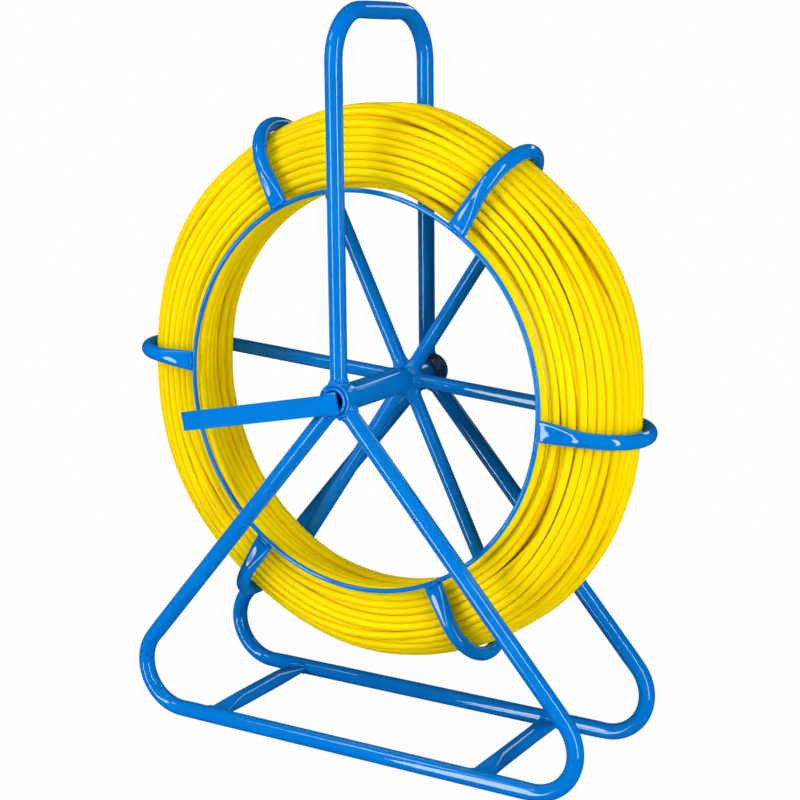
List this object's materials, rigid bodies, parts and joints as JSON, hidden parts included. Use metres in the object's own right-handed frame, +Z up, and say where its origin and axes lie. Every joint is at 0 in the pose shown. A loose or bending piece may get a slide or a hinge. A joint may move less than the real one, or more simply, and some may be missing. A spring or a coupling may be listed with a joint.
{
  "type": "fish tape reel",
  "caption": "Floor-standing reel of push rod: wire-ringed wheel with J-shaped tube arms turning on a hub tube between two triangular bent-tube side frames with a carry handle and a crank bar",
  "frame": {"origin": "on the floor, straight below the middle of the axle", "axes": "+Z up, +Y along the axle from the crank side to the back, +X to the right when facing the crank side"},
  "size_m": [0.4796, 0.162, 0.608],
  "materials": {
    "blue_powder_coat": "gloss powder coat",
    "yellow_rod": "semi-gloss extruded jacket",
    "ferrule_metal": "turned"
  },
  "bodies": {
    "stand": {"front_side_frame": "blue_powder_coat", "rear_side_frame": "blue_powder_coat", "carry_handle": "blue_powder_coat", "front_bearing_collar": "blue_powder_coat", "rear_bearing_collar": "blue_powder_coat", "left_cross_bar": "blue_powder_coat", "right_cross_bar": "blue_powder_coat", "front_collar_welds": "blue_powder_coat", "rear_collar_welds": "blue_powder_coat", "cross_bar_welds": "blue_powder_coat"},
    "reel": {"hub_tube": "blue_powder_coat", "spoke_arm_1": "blue_powder_coat", "spoke_arm_2": "blue_powder_coat", "spoke_arm_3": "blue_powder_coat", "spoke_arm_4": "blue_powder_coat", "spoke_arm_5": "blue_powder_coat", "spoke_arm_6": "blue_powder_coat", "front_retaining_ring": "blue_powder_coat", "spoke_root_welds": "blue_powder_coat", "ring_welds": "blue_powder_coat", "crank_bar": "blue_powder_coat", "crank_welds": "blue_powder_coat", "rear_stop_disc": "blue_powder_coat", "rod_coil": "yellow_rod", "lead_end_ferrule": "ferrule_metal", "tail_end_ferrule": "ferrule_metal"}
  },
  "joints": [
    {"name": "reel_spin", "type": "hinge", "parent": "stand", "child": "reel", "pos_m": [0, 0, 0.3], "axis": [0, 1, 0], "continuous": true}
  ]
}
